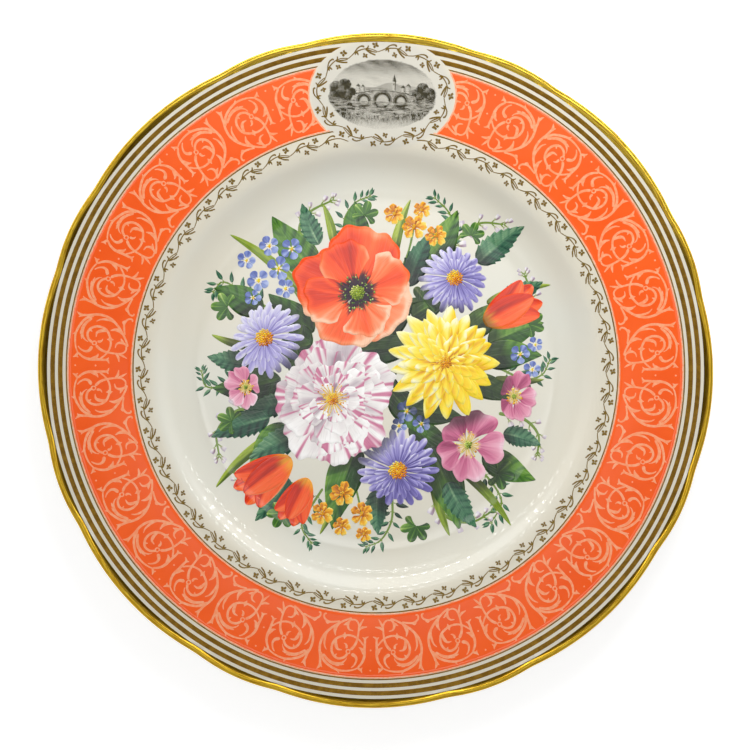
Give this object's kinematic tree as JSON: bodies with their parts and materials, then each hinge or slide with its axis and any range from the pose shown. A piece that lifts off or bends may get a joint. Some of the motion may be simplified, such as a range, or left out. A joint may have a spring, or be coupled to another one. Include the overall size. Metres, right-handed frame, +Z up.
{
  "type": "souvenir plate",
  "caption": "Round display plate with a scalloped gilded lip, gold and coral rings, an oval picture on the rim and flowers in the well.",
  "frame": {"origin": "middle of the plate at the plane of the foot ring's underside", "axes": "+Z up out of the well, +Y from the middle towards the medallion, +X to its right"},
  "size_m": [0.27, 0.27, 0.024],
  "materials": {
    "china": "clear glossy glaze over warm ivory bone china",
    "lip_gold": "burnished bright gilding, mirror-like on the bead",
    "printed_gold": "dark old-gold print with a soft lustre, under the glaze's gloss",
    "coral_enamel": "glossy opaque coral enamel with paler scrollwork",
    "grey_print": "grey engraved-style picture on ivory, glossy",
    "flower_print": "many-coloured flower print on ivory, glossy"
  },
  "bodies": {
    "root": {"china_body": "china", "gilt_edge": "lip_gold", "outer_gold_band": "printed_gold", "inner_gold_band": "printed_gold", "outer_gold_line": "printed_gold", "coral_border": "coral_enamel", "inner_gold_line": "printed_gold", "medallion_print": "grey_print", "centre_print": "flower_print"}
  },
  "joints": []
}
